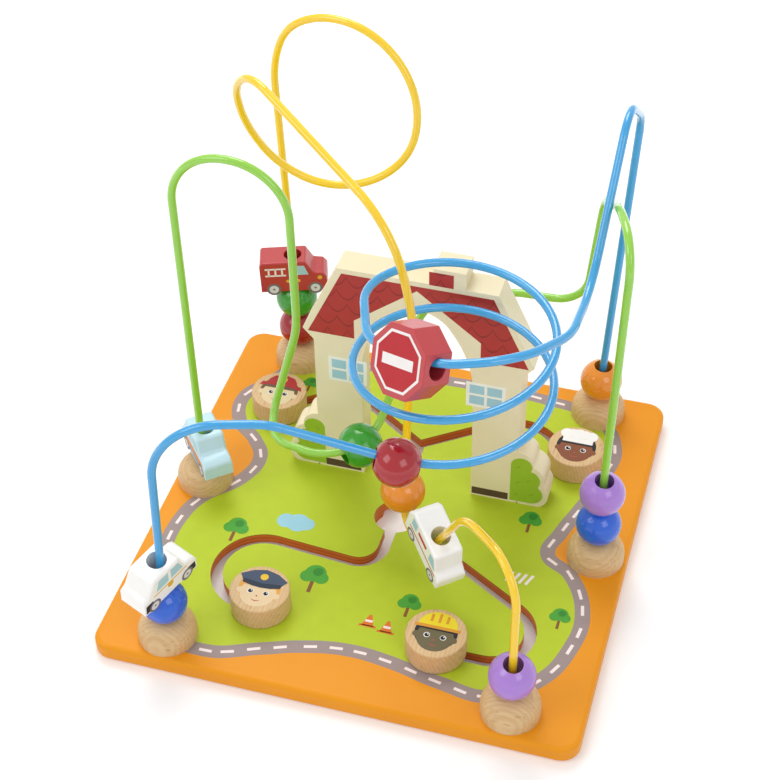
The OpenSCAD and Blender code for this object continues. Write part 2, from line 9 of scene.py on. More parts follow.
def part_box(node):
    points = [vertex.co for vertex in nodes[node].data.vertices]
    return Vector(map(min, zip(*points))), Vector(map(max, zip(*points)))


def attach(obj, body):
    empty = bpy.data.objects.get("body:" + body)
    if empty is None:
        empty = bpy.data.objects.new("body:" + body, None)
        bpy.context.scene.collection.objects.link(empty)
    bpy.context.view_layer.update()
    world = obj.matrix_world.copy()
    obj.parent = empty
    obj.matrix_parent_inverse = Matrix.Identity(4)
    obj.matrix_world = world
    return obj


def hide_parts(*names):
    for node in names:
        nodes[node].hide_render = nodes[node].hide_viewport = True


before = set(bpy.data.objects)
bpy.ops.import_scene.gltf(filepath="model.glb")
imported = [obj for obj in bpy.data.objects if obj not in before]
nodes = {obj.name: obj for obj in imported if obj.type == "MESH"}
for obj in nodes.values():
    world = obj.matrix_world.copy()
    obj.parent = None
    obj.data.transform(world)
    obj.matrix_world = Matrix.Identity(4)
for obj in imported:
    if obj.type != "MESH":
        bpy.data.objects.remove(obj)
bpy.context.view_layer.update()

# Base board: a square of birch plywood, sprayed orange with a satin lacquer and rounded along its edges.
# The slots are routed after the lacquer, so their walls show the bare, darker ply.
MM = 0.001
BOARD_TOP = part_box("base_board")[1].z
BOARD_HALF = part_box("base_board")[1].x
BOARD_EDGE, SLOT_EDGE, RIM_BAND = 3 * MM, 0.5 * MM, 4 * MM
PLY, PLY_BLEND, WALL_TILT = 1.6 * MM, 0.4, 0.5
ORANGE_LACQUER, ORANGE_SIDE = "#EE9C1C", "#E89318"
SLOT_PLY_DARK, SLOT_PLY_LIGHT = "#CC6E24", "#DC8030"
# Points closer than MERGE are one. FLAT, SHARP and SMOOTH are angles between faces.
MERGE, FLAT, SHARP, SMOOTH = 0.002 * MM, math.radians(0.5), math.radians(32), math.radians(30)
RIM_STEPS, EDGE_STEPS, COAT_BUMP = 6, 3, 0.25
FACTOR, COLOUR_A, COLOUR_B, MIXED = 0, 6, 7, 2   # the colour sockets of a Mix node


def linear(code):
    """An sRGB hex colour as linear RGBA."""
    parts = [int(code[i:i + 2], 16) / 255 for i in (1, 3, 5)]
    return [p / 12.92 if p <= 0.04045 else ((p + 0.055) / 1.055) ** 2.4 for p in parts] + [1.0]


def add(tree, kind, ins=None, **settings):
    """Adds a shader node: settings are its properties, ins its sockets' values or links."""
    node = tree.nodes.new("ShaderNode" + kind)
    for name, value in settings.items():
        setattr(node, name, value)
    for name, value in (ins or {}).items():
        if isinstance(value, bpy.types.NodeSocket):
            tree.links.new(value, node.inputs[name])
        else:
            node.inputs[name].default_value = value
    return node


def material(name, **sockets):
    """A new material with its node tree and its shader, whose sockets are set by name."""
    made = bpy.data.materials.new(name)
    made.use_nodes = True
    shader = made.node_tree.nodes["Principled BSDF"]
    for socket, value in sockets.items():
        shader.inputs[socket.replace("_", " ")].default_value = value
    return made, made.node_tree, shader


def coat_bump(tree, shader, size, depth):
    """Fine unevenness of a sprayed or dipped coat, with bumps of that size in metres."""
    place = add(tree, "TexCoord").outputs["Object"]
    grain = add(tree, "TexNoise", {"Vector": place, "Scale": 1 / size, "Detail": 2.0})
    bump = add(tree, "Bump", {"Height": grain.outputs["Fac"], "Strength": COAT_BUMP, "Distance": depth})
    tree.links.new(bump.outputs["Normal"], shader.inputs["Normal"])
    return place


def finish_node(node, made):
    """Gives a CAD node that stays in view its finish."""
    obj = nodes[node]
    for place in obj.material_slots:
        place.material = made
    if not obj.material_slots:
        obj.data.materials.append(made)


def placed(bm, name, finishes, body, slot, *stands_for):
    """Turns a bmesh into a piece that rides on a body. What stands for a node is smooth-shaded."""
    mesh = bpy.data.meshes.new(name)
    bm.to_mesh(mesh)
    bm.free()
    if stands_for:
        mesh.shade_smooth()
        mesh.set_sharp_from_angle(angle=SMOOTH)
    else:
        mesh.shade_flat()
    for made in finishes:
        mesh.materials.append(made)
    obj = bpy.data.objects.new(name, mesh)
    bpy.context.scene.collection.objects.link(obj)
    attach(obj, body)
    if stands_for:
        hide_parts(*stands_for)
        weighted = obj.modifiers.new("flat_faces_stay_flat", "WEIGHTED_NORMAL")
        weighted.keep_sharp, weighted.weight = True, 100
    return obj


def softened(node, body, width, made, slot, rim=None, rim_width=0.0):
    """A copy of a CAD node with rounded edges, which stands for it. Edges that rim picks are rounder."""
    bm = bmesh.new()
    bm.from_mesh(nodes[node].data)
    bmesh.ops.remove_doubles(bm, verts=bm.verts, dist=MERGE)
    bmesh.ops.dissolve_limit(bm, angle_limit=FLAT, verts=bm.verts, edges=bm.edges)
    for chosen, wide, steps in ((rim, rim_width, RIM_STEPS), (lambda e: True, width, EDGE_STEPS)):
        sharp = [e for e in bm.edges if e.is_manifold and e.calc_face_angle(0) > SHARP]
        bmesh.ops.bevel(bm, geom=[e for e in sharp if chosen and chosen(e)], offset=wide,
                        offset_type="OFFSET", segments=steps, profile=0.5, affect="EDGES",
                        clamp_overlap=True, material=-1)
    bmesh.ops.triangulate(bm, faces=bm.faces)
    return placed(bm, node + "_soft", [made], body, slot, node)


# Satin lacquer shows a soft shine and a faint orange peel, and the cut slots show stripes of ply.
board_lacquer, tree, shader = material("orange_lacquer_on_birch_ply", Roughness=0.42,
                                       Specular_IOR_Level=0.2)
place = coat_bump(tree, shader, 1.2 * MM, 0.05 * MM)
xyz = add(tree, "SeparateXYZ", {"Vector": place})
side_x = add(tree, "Math", {0: xyz.outputs["X"]}, operation="ABSOLUTE")
side_y = add(tree, "Math", {0: xyz.outputs["Y"]}, operation="ABSOLUTE")
reach = add(tree, "Math", {0: side_x.outputs[0], 1: side_y.outputs[0]}, operation="MAXIMUM")
inside = add(tree, "Math", {0: reach.outputs[0], 1: BOARD_HALF - 2 * BOARD_EDGE},
             operation="LESS_THAN")
facing = add(tree, "SeparateXYZ", {"Vector": add(tree, "NewGeometry").outputs["True Normal"]})
upright = add(tree, "Math", {0: facing.outputs["Z"]}, operation="ABSOLUTE")
wall = add(tree, "Math", {0: upright.outputs[0], 1: WALL_TILT}, operation="LESS_THAN")
slot_wall = add(tree, "Math", {0: wall.outputs[0], 1: inside.outputs[0]}, operation="MULTIPLY")
turns = add(tree, "Math", {0: xyz.outputs["Z"], 1: math.pi / PLY}, operation="MULTIPLY")
plies = add(tree, "Math", {0: turns.outputs[0]}, operation="SINE")
ply_mix = add(tree, "MapRange", {"Value": plies.outputs[0], "From Min": -PLY_BLEND, "From Max": PLY_BLEND})
ply_colour = add(tree, "Mix", {FACTOR: ply_mix.outputs[0], COLOUR_A: linear(SLOT_PLY_DARK),
                               COLOUR_B: linear(SLOT_PLY_LIGHT)}, data_type="RGBA")
cloud = add(tree, "TexNoise", {"Vector": place, "Scale": 1 / (40 * MM), "Detail": 3.0})
lacquer = add(tree, "Mix", {FACTOR: cloud.outputs["Fac"], COLOUR_A: linear(ORANGE_SIDE),
                            COLOUR_B: linear(ORANGE_LACQUER)}, data_type="RGBA")
board_colour = add(tree, "Mix", {FACTOR: slot_wall.outputs[0], COLOUR_A: lacquer.outputs[MIXED],
                                 COLOUR_B: ply_colour.outputs[MIXED]}, data_type="RGBA")
tree.links.new(board_colour.outputs[MIXED], shader.inputs["Base Color"])


def on_rim(edge):
    """Whether an edge runs along the board's outer outline."""
    return all(max(abs(v.co.x), abs(v.co.y)) > BOARD_HALF - RIM_BAND for v in edge.verts)


softened("base_board", "base", SLOT_EDGE, board_lacquer, "board_ply", on_rim, BOARD_EDGE)

# Board print: a green field inside a winding grey road with pale dashes, screen-printed in flat inks.
# Road and field stop at the slots. Small trees, cones, a pond and a crossing stand on the field.
# One ink layer is thin enough for the figures' discs to pass over seven of them.
INK = 0.03 * MM
PRINT_UNDER, PRINT_OVER, OUTLINE_MERGE = 0.4 * MM, 1 * MM, 0.01 * MM
DISC_STEPS = 40
ROAD_W = 9.5
ROAD = [(-80, -136), (-49, -126), (-26, -118), (1, -113), (29, -115), (62, -122), (92, -124), (118, -104),
        (130, -77), (132, -49), (118, -19), (101, -6), (105, 14), (114, 42), (122, 72), (124, 98), (109, 123),
        (70, 133), (0, 134), (-80, 130), (-108, 118), (-121, 99), (-132, 82), (-127, 58), (-111, 43),
        (-102, 28), (-106, 8), (-128, -20), (-134, -42), (-134, -66), (-130, -100), (-112, -128)]
DASH, DASH_W, DASH_STEP = 8.0, 2.0, 16.0
TREES = [(-35, -60, 11), (28, -66, 9), (119, -52, 8), (-96, -34, 10), (-92, 108, 7), (84, 22, 9)]
CONES = [(8, -92), (20, -94)]
CONE_FOOT, CONE_TIP, CONE_H = 4, 0.8, 9   # half widths and height
CROSSING, BARS, BAR_STEP, BAR_TURN, BAR_L, BAR_W = (82, -30), 4, 4.2, 1.2, 9, 1.8
POND, POND_LOBES = (-62, -22), [(-5, 6), (3, 7.5), (9, 5)]
# A tree's trunk, and its crown by ink, layer, place and radius, all as shares of the tree's size.
TRUNK_L, TRUNK_W = 0.9, 0.22
CROWN = [("leaf", 4, 0, 0, 0.62), ("leaf", 5, -0.4, -0.3, 0.42), ("leaf", 6, 0.42, -0.28, 0.42),
         ("leaf_dark", 7, 0.12, 0.12, 0.3)]
INKS = {"field": "#B9CC2E", "road": "#A08F8C", "dash": "#FAEAE6", "leaf": "#4FA33A", "leaf_dark": "#3A8A32",
        "trunk": "#8A5A34", "cone": "#E0772C", "pond": "#9CCFE0"}


def clouded(tree, shader, place, code, patch, detail, low, high):
    """A coat's colour, whose tone wavers between two levels in patches of that size in metres."""
    cloud = add(tree, "TexNoise", {"Vector": place, "Scale": 1 / patch, "Detail": detail})
    tone = add(tree, "MapRange", {"Value": cloud.outputs["Fac"], "To Min": low, "To Max": high})
    shade = add(tree, "Mix", {FACTOR: 1.0, COLOUR_A: linear(code), COLOUR_B: tone.outputs[0]},
                data_type="RGBA", blend_type="MULTIPLY")
    tree.links.new(shade.outputs[MIXED], shader.inputs["Base Color"])


def ink(name, code):
    """Screen-printing ink, matt and a little uneven in its tone."""
    made, tree, shader = material("screen_ink_" + name, Roughness=0.5, Specular_IOR_Level=0.2)
    place = coat_bump(tree, shader, 0.8 * MM, 0.02 * MM)
    clouded(tree, shader, place, code, 9 * MM, 4.0, 0.94, 1.05)
    return made


def road_curve(grow):
    """The road's centre line as a closed flat curve, filled and grown by that many millimetres."""
    curve = bpy.data.curves.new("road", "CURVE")
    curve.dimensions, curve.fill_mode = "2D", "BOTH"
    curve.resolution_u, curve.offset = 10, grow * MM
    spline = curve.splines.new("BEZIER")
    spline.bezier_points.add(len(ROAD) - 1)
    spline.use_cyclic_u = True
    for point, (x, y) in zip(spline.bezier_points, ROAD):
        point.co = (x * MM, y * MM, 0)
        point.handle_left_type = point.handle_right_type = "AUTO"
    return curve


def as_mesh(data):
    """The evaluated mesh of a curve, or of an object with its modifiers."""
    obj = data if isinstance(data, bpy.types.Object) else bpy.data.objects.new("scratch", data)
    if obj.name not in bpy.context.scene.collection.objects:
        bpy.context.scene.collection.objects.link(obj)
    bpy.context.view_layer.update()
    mesh = bpy.data.meshes.new_from_object(obj.evaluated_get(bpy.context.evaluated_depsgraph_get()))
    bpy.data.objects.remove(obj)
    return mesh


def cut_to_board(bm, name, layer):
    """Cuts a flat prism to the board's outline and slots, with its top that many inks above the board."""
    source, board = bpy.data.meshes.new(name), bmesh.new()
    bm.to_mesh(source)
    bm.free()
    board.from_mesh(nodes["base_board"].data)
    bmesh.ops.remove_doubles(board, verts=board.verts, dist=MERGE)
    bmesh.ops.translate(board, verts=board.verts, vec=(0, 0, layer * INK))
    cutter_mesh = bpy.data.meshes.new("cutter")
    board.to_mesh(cutter_mesh)
    board.free()
    cutter = bpy.data.objects.new("cutter", cutter_mesh)
    obj = bpy.data.objects.new("scratch", source)
    for o in (cutter, obj):
        bpy.context.scene.collection.objects.link(o)
    cut = obj.modifiers.new("slots", "BOOLEAN")
    cut.operation, cut.solver, cut.object = "INTERSECT", "EXACT", cutter
    result = bmesh.new()
    result.from_mesh(as_mesh(obj))
    bpy.data.objects.remove(cutter)
    return result


def raised(bm, faces, height):
    """Extrudes flat faces straight up into prisms of that height."""
    grown = bmesh.ops.extrude_face_region(bm, geom=faces)
    bmesh.ops.translate(bm, vec=(0, 0, height),
                        verts=[v for v in grown["geom"] if isinstance(v, bmesh.types.BMVert)])


def prism(outline_mesh, low, high):
    """A flat mesh as a closed prism between two heights."""
    bm = bmesh.new()
    bm.from_mesh(outline_mesh)
    bmesh.ops.remove_doubles(bm, verts=bm.verts, dist=OUTLINE_MERGE)
    bmesh.ops.translate(bm, verts=bm.verts, vec=(0, 0, low))
    raised(bm, bm.faces[:], high - low)
    bmesh.ops.recalc_face_normals(bm, faces=bm.faces)
    return bm


board_inks = {name: ink(name, code) for name, code in INKS.items()}
for name, grow, layer in (("road", ROAD_W / 2, 1), ("field", -ROAD_W / 2, 2)):
    bm = prism(as_mesh(road_curve(grow)), BOARD_TOP - PRINT_UNDER, BOARD_TOP + PRINT_OVER)
    placed(cut_to_board(bm, name, layer), "board_" + name + "_print", [board_inks[name]], "base",
           "board_ply")


def prints(name, plane, shapes, inks, body, slot):
    """Printed ink layers on a plane: each is an ink, a layer, and a disc (x, y, r) or an outline."""
    bm = bmesh.new()
    used = {ink_name for ink_name, _, _ in shapes}
    order = [ink_name for ink_name in inks if ink_name in used]
    for ink_name, layer, shape in shapes:
        before = set(bm.faces)
        if isinstance(shape, tuple):
            x, y, r = shape
            bmesh.ops.create_circle(bm, cap_ends=True, segments=DISC_STEPS, radius=r * MM,
                                    matrix=Matrix.Translation((x * MM, y * MM, 0)))
        else:
            bm.faces.new([bm.verts.new((x * MM, y * MM, 0)) for x, y in shape])
        raised(bm, [f for f in bm.faces if f not in before], layer * INK)
        for face in bm.faces:
            if face not in before:
                face.material_index = order.index(ink_name)
    bmesh.ops.triangulate(bm, faces=bm.faces)
    bmesh.ops.recalc_face_normals(bm, faces=bm.faces)
    bmesh.ops.transform(bm, matrix=plane, verts=bm.verts)
    return placed(bm, name, [inks[i] for i in order], body, slot)


def bar(x, y, heading, length, width):
    """The outline of a bar with its middle at x, y."""
    along = Vector((math.cos(heading), math.sin(heading)))
    across = Vector((-math.sin(heading), math.cos(heading)))
    corners = ((-1, -1), (1, -1), (1, 1), (-1, 1))
    return [Vector((x, y)) + along * length / 2 * a + across * width / 2 * b for a, b in corners]


# The dashes follow the road's centre line, walked from point to point round its border.
border = bmesh.new()
border.from_mesh(as_mesh(road_curve(0)))
edge = next(e for e in border.edges if e.is_boundary)
vert, walk = edge.verts[0], []
while not walk or vert != walk[0]:
    walk.append(vert)
    edge = next(e for e in vert.link_edges
                if e.is_boundary and (len(walk) < 2 or e.other_vert(vert) != walk[-2]))
    vert = edge.other_vert(vert)
line = [Vector((v.co.x, v.co.y)) / MM for v in walk]
border.free()
marks, gone = [], 0.0
for here, there in zip(line, line[1:] + line[:1]):
    length, way = (there - here).length, there - here
    if int((gone + length) / DASH_STEP) > int(gone / DASH_STEP):
        marks.append(("dash", 3, bar(there.x, there.y, math.atan2(way.y, way.x), DASH, DASH_W)))
    gone += length
for x, y in CONES:
    marks += [("cone", 3, [(x - CONE_FOOT, y), (x + CONE_FOOT, y), (x + CONE_TIP, y + CONE_H),
                          (x - CONE_TIP, y + CONE_H)]),
              ("dash", 4, bar(x, y + 4, 0, 4.6, 1.8)), ("cone", 3, bar(x, y, 0, 11, 1.6))]
for i in range(BARS):
    marks.append(("dash", 3, bar(CROSSING[0] + i * BAR_STEP, CROSSING[1], BAR_TURN, BAR_L, BAR_W)))
for layer, (dx, r) in enumerate(POND_LOBES, 3):
    marks.append(("pond", layer, (POND[0] + dx, POND[1], r)))
for x, y, r in TREES:
    marks.append(("trunk", 3, bar(x, y - r, math.pi / 2, r * TRUNK_L, r * TRUNK_W)))
    marks += [(leaf, layer, (x + r * dx, y + r * dy, r * share)) for leaf, layer, dx, dy, share in CROWN]
prints("board_marks_print", Matrix.Translation((0, 0, BOARD_TOP)), marks, board_inks, "base", "board_ply")

# Posts: six turned beech domes, sanded and left clear, that hold the wire ends.
# Zinc-plated wood screws come up from below. Beech shows a warm ground, soft grain and short dark flecks.
BEECH_PALE, BEECH_DARK, BEECH_FLECK = "#E3C595", "#C99E68", "#AC8251"
GRAIN_LONG, GRAIN_WIDE, RING, FLECK_LONG = 45 * MM, 1.6 * MM, 2.2 * MM, 6 * MM
GRAIN_SHARE, RING_SHARE, FLECK_THIN, FLECK_DEPTH = 0.75, 0.25, 1.6, 0.6


def beech(name, along):
    """Clear beech with its grain along one axis: 0 for X, 1 for Y, 2 for Z."""
    made, tree, shader = material(name, Roughness=0.5)
    place = coat_bump(tree, shader, 0.6 * MM, 0.03 * MM)
    scale = [1 / GRAIN_WIDE] * 3
    scale[along] = 1 / GRAIN_LONG
    stretched = add(tree, "Mapping", {"Vector": place, "Scale": scale})
    grain = add(tree, "TexNoise", {"Vector": stretched.outputs[0], "Scale": 0.5, "Detail": 5.0,
                                   "Distortion": 0.3})
    rings = add(tree, "TexWave", {"Vector": place, "Scale": 2 * math.pi / 20 / RING, "Distortion": 3.0,
                                  "Detail": 2.0, "Detail Scale": 0.6},
                wave_type="RINGS", rings_direction="XYZ"[along])
    figure = add(tree, "Math", {0: grain.outputs["Fac"], 1: GRAIN_SHARE}, operation="MULTIPLY")
    lines = add(tree, "Math", {0: rings.outputs["Fac"], 1: RING_SHARE, 2: figure.outputs[0]},
                operation="MULTIPLY_ADD")
    tone = add(tree, "Mix", {FACTOR: lines.outputs[0], COLOUR_A: linear(BEECH_DARK),
                             COLOUR_B: linear(BEECH_PALE)}, data_type="RGBA")
    short = [s * FLECK_THIN for s in scale]
    short[along] = 1 / FLECK_LONG
    dashes = add(tree, "Mapping", {"Vector": place, "Scale": short})
    fleck = add(tree, "TexNoise", {"Vector": dashes.outputs[0], "Scale": 0.7, "Detail": 1.0})
    few = add(tree, "MapRange", {"Value": fleck.outputs["Fac"], "From Min": 0.64, "From Max": 0.74,
                                 "To Max": FLECK_DEPTH})
    colour = add(tree, "Mix", {FACTOR: few.outputs[0], COLOUR_A: tone.outputs[MIXED],
                               COLOUR_B: linear(BEECH_FLECK)}, data_type="RGBA")
    tree.links.new(colour.outputs[MIXED], shader.inputs["Base Color"])
    return made


turned_beech = beech("turned_beech", 0)
for corner in ("front_left", "middle_left", "back_left", "back_right", "middle_right", "front_right"):
    finish_node("post_" + corner, turned_beech)

# Zinc plating is a cool grey metal with a blurred shine.
zinc_steel, tree, shader = material("zinc_plated_steel", Metallic=1.0, Roughness=0.35,
                                    Base_Color=linear("#B9BBBD"))
coat_bump(tree, shader, 0.4 * MM, 0.02 * MM)
for node in nodes:
    if node.endswith(("_screw", "_screws")):
        finish_node(node, zinc_steel)

# Wires: steel rods, bent cold and dipped in a coloured plastic that sets to a smooth gloss.
# The coat is thick enough to hide the steel, with faint waves along it.
WIRE_COATS = {"blue": "#2F9FDB", "green": "#92D040", "yellow": "#FACF00"}
for colour, code in WIRE_COATS.items():
    coat, tree, shader = material("dipped_vinyl_" + colour, Roughness=0.16, IOR=1.5, Coat_Weight=0.6,
                                  Coat_Roughness=0.08)
    place = coat_bump(tree, shader, 3 * MM, 0.04 * MM)
    clouded(tree, shader, place, code, 25 * MM, 2.0, 0.95, 1.04)
    finish_node(colour + "_wire", coat)

# House: a thick cream-lacquered board sawn to a house's outline with an arch, screwed on from below.
# Roof, windows, plinths and bushes are printed on its front and stand a little in from the sawn edge.
HOUSE_LOW, HOUSE_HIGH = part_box("house_board")
HOUSE_FRONT = HOUSE_LOW.y
HOUSE_MID = (HOUSE_LOW.x + HOUSE_HIGH.x) / 2
# The front's cream, and the same cream darkened as painted shade for the faces round the sawn edge.
HOUSE_CREAM, HOUSE_CREAM_IN_PAINTED_SHADE = "#F8EDD0", "#EBDCB2"
HOUSE_INKS = {"window_frame": "#FBFAF4", "pane": "#A9D3E4", "plinth": "#5E4A3C", "bush": "#A0C636",
              "bush_leaf": "#8CB42E"}
ROOF_RED, ROOF_LINE = "#B32D2E", "#8C1E22"
TILE_W, TILE_H = 13 * MM, 10.5 * MM
SCALLOP_BEND, SCALLOP_LOW, TILE_LINE = 2.6, 0.12, 0.055   # shares of a row of tiles
# The bevel on the sawn edges, and the share of a random cloud that blurs the painted edge shade.
HOUSE_EDGE, SHADE_CLOUD_SHARE = 2 * MM, 0.25
ROOF = [(-70, 128.5), (-40, 128.5), (-40, 143), (0, 175), (40, 143), (40, 128.5), (70, 128.5), (47, 178.5),
        (-47, 178.5)]
CHIMNEY = (15, 186.5, 0, 15, 10)
WINDOWS_X, WINDOW_Z, WINDOW_W, WINDOW_H = (-45, 44), 100.5, 25, 20
PANE_X, PANE_Z, PANE_W, PANE_H = 5.6, 4.4, 9.4, 7
PLINTH_OUT, PLINTH_Z, PLINTH_W, PLINTH_H = 1.11, 16.5, 24, 6
BUSH_FOOT = (62, 14)
BUSH_LOBES = [(75, 22.5, 8.5, -80, 50), (73, 34.5, 8.5, -30, 60), (69, 46, 7, -30, 180)]   # x, z, r, arc
BUSH_LEAVES = [(67, 45), (74, 34), (67, 31), (76, 22), (66, 20)]
ARC_STEP, LEAF_TURN, LEAF_L, LEAF_W = 10, 0.7, 3.4, 0.9

# Cream lacquer has a low shine. Faces that turn away from front and back get a deeper cream: that is painted
# shade, blurred by a cloud of random tone.
house_lacquer, tree, shader = material("cream_lacquer_with_painted_edge_shade", Roughness=0.4, Coat_Weight=0.1)
place = coat_bump(tree, shader, 1.2 * MM, 0.05 * MM)
facing = add(tree, "SeparateXYZ", {"Vector": add(tree, "NewGeometry").outputs["Normal"]})
front = add(tree, "Math", {0: facing.outputs["Y"]}, operation="ABSOLUTE")
cloud = add(tree, "TexNoise", {"Vector": place, "Scale": 1 / (30 * MM), "Detail": 3.0})
front_lit_share = add(tree, "Math", {0: front.outputs[0], 1: cloud.outputs["Fac"], 2: SHADE_CLOUD_SHARE},
            operation="MULTIPLY_ADD")
cream_with_painted_shade = add(tree, "Mix", {FACTOR: front_lit_share.outputs[0], COLOUR_A: linear(HOUSE_CREAM_IN_PAINTED_SHADE),
                          COLOUR_B: linear(HOUSE_CREAM)}, data_type="RGBA")
tree.links.new(cream_with_painted_shade.outputs[MIXED], shader.inputs["Base Color"])
softened("house_board", "base", HOUSE_EDGE, house_lacquer, "house_wood")

# The roof's ink is red with thin dark scallops, row over row, each row half a tile along from the last.
roof_ink, tree, shader = material("screen_ink_roof", Roughness=0.45)
place = coat_bump(tree, shader, 0.8 * MM, 0.02 * MM)
xyz = add(tree, "SeparateXYZ", {"Vector": place})
row = add(tree, "Math", {0: xyz.outputs["Z"], 1: TILE_H}, operation="DIVIDE")
whole = add(tree, "Math", {0: row.outputs[0]}, operation="FLOOR")
step = add(tree, "Math", {0: whole.outputs[0], 1: 0.5}, operation="MULTIPLY")
column = add(tree, "Math", {0: xyz.outputs["X"], 1: 1 / TILE_W, 2: step.outputs[0]},
             operation="MULTIPLY_ADD")
across = add(tree, "Math", {0: column.outputs[0]}, operation="FRACT")
off = add(tree, "Math", {0: across.outputs[0], 1: 0.5}, operation="SUBTRACT")
square = add(tree, "Math", {0: off.outputs[0], 1: off.outputs[0]}, operation="MULTIPLY")
scallop = add(tree, "Math", {0: square.outputs[0], 1: SCALLOP_BEND, 2: SCALLOP_LOW},
              operation="MULTIPLY_ADD")
up_row = add(tree, "Math", {0: row.outputs[0]}, operation="FRACT")
miss = add(tree, "Math", {0: up_row.outputs[0], 1: scallop.outputs[0]}, operation="SUBTRACT")
near = add(tree, "Math", {0: miss.outputs[0]}, operation="ABSOLUTE")
on_line = add(tree, "Math", {0: near.outputs[0], 1: TILE_LINE}, operation="LESS_THAN")
red = add(tree, "Mix", {FACTOR: on_line.outputs[0], COLOUR_A: linear(ROOF_RED),
                        COLOUR_B: linear(ROOF_LINE)}, data_type="RGBA")
tree.links.new(red.outputs[MIXED], shader.inputs["Base Color"])

house_plane = Matrix.Translation((HOUSE_MID, HOUSE_FRONT, 0)) @ Matrix.Rotation(math.pi / 2, 4, "X")
house_inks = {name: ink(name, code) for name, code in HOUSE_INKS.items()}
house_inks["roof"] = roof_ink
house_shapes = [("roof", 2, ROOF), ("roof", 2, bar(*CHIMNEY))]
for x in WINDOWS_X:
    house_shapes.append(("window_frame", 2, bar(x, WINDOW_Z, 0, WINDOW_W, WINDOW_H)))
    for dx in (-PANE_X, PANE_X):
        for dz in (-PANE_Z, PANE_Z):
            house_shapes.append(("pane", 3, bar(x + dx, WINDOW_Z + dz, 0, PANE_W, PANE_H)))
    house_shapes.append(("plinth", 2, bar(x * PLINTH_OUT, PLINTH_Z, 0, PLINTH_W, PLINTH_H)))
for side in (-1, 1):
    bush = [BUSH_FOOT]
    for x, z, r, first, last in BUSH_LOBES:
        for a in range(first, last + 1, ARC_STEP):
            bush.append((x + r * math.cos(math.radians(a)), z + r * math.sin(math.radians(a))))
    house_shapes.append(("bush", 2, [(side * x, z) for x, z in bush]))
    for x, z in BUSH_LEAVES:
        house_shapes.append(("bush_leaf", 3, bar(side * x, z, side * LEAF_TURN, LEAF_L, LEAF_W)))
prints("house_print", house_plane, house_shapes, house_inks, "base", "house_wood")

# Sliding figures: turned beech discs with a printed face and hat, screwed to moulded nylon guides.
# The guides run in the slots. The faces are plain round ones, and the discs keep a rim of bare wood.
FIGURE_INKS = {"skin_light": "#EBCFA6", "skin_olive": "#6E6549", "skin_brown": "#8A5238",
               "skin_pale": "#E6D3A8", "eye": "#FBFAF6", "pupil": "#2A2523", "mouth": "#B4564E",
               "navy": "#46536A", "navy_dark": "#2E3746", "gold": "#EBC23C", "hair_blond": "#E6A64C",
               "hair_black": "#2C2A2B", "hair_brown": "#6E5A45", "helmet": "#F1DA2E", "stripe": "#DE9A35",
               "white": "#F7F5F1", "cap_red": "#B33A38"}
FACE_R, DISC_EDGE = 13.0, 1.2 * MM
EAR_OUT, EAR_Y, EAR_R, NOSE = FACE_R * 0.88, -3.4, 2.2, (0, -5.8, 0.6)
EYE = [("eye", 4, 5, 0, -2.8, 1.9), ("pupil", 5, 4.9, 0, -2.8, 1.5),
       ("eye", 6, 4.9, 0.5, -2.2, 0.45)]   # ink, layer, place to its side, shift, height, radius
SMILE = [(-3, -8.6), (-1.6, -9.7), (0, -10.1), (1.6, -9.7), (3, -8.6), (1.5, -9.2), (0, -9.4), (-1.5, -9.2)]
HATS = {
    "police": ("skin_light", "hair_blond",
               [("navy", 6, [(-12, 4.5), (12, 4.5), (15, 9), (8, 13.5), (0, 15.5), (-8, 13.5), (-15, 9)]),
                ("navy_dark", 7, [(-12, 3), (-6, 1.4), (0, 0.9), (6, 1.4), (12, 3), (12.4, 6), (0, 4.4),
                                  (-12.4, 6)]),
                ("gold", 8, (0, 9.6, 2.5))]),
    "builder": ("skin_olive", "hair_black",
                [("helmet", 6, [(-12, 4.5), (12, 4.5), (11.4, 8.5), (8.6, 12.6), (4.6, 15), (0, 15.7),
                                (-4.6, 15), (-8.6, 12.6), (-11.4, 8.5)]),
                 ("stripe", 7, bar(0, 4, 0, 28, 2.2)), ("stripe", 7, bar(0, 11.2, math.pi / 2, 7, 1.7)),
                 ("stripe", 7, bar(-4.8, 10.8, math.pi / 2, 5.6, 1.7)),
                 ("stripe", 7, bar(4.8, 10.8, math.pi / 2, 5.6, 1.7))]),
    "chef": ("skin_brown", "hair_black",
             [("white", 6, bar(0, 6.6, 0, 20, 6.4)), ("white", 7, (-8.2, 11, 4.2)),
              ("white", 8, (8.2, 11, 4.2)), ("white", 9, (0, 11.6, 4.6)), ("white", 10, (-4, 11.6, 3.9)),
              ("white", 11, (4, 11.6, 3.9))]),
    "firefighter": ("skin_pale", "hair_brown",
                    [("cap_red", 6, [(-10.5, 5), (10.5, 5), (9.8, 9.5), (7, 13.4), (0, 15.6), (-7, 13.4),
                                     (-9.8, 9.5)]),
                     ("cap_red", 7, [(-15, 2.6), (-8, 4.2), (0, 4.8), (8, 4.2), (15, 2.6), (13.6, 6.2),
                                     (0, 7.6), (-13.6, 6.2)]),
                     ("gold", 8, (0, 10.8, 2.5))]),
}
face_inks = {name: ink(name, code) for name, code in FIGURE_INKS.items()}
disc_beech = beech("sanded_beech_disc", 1)
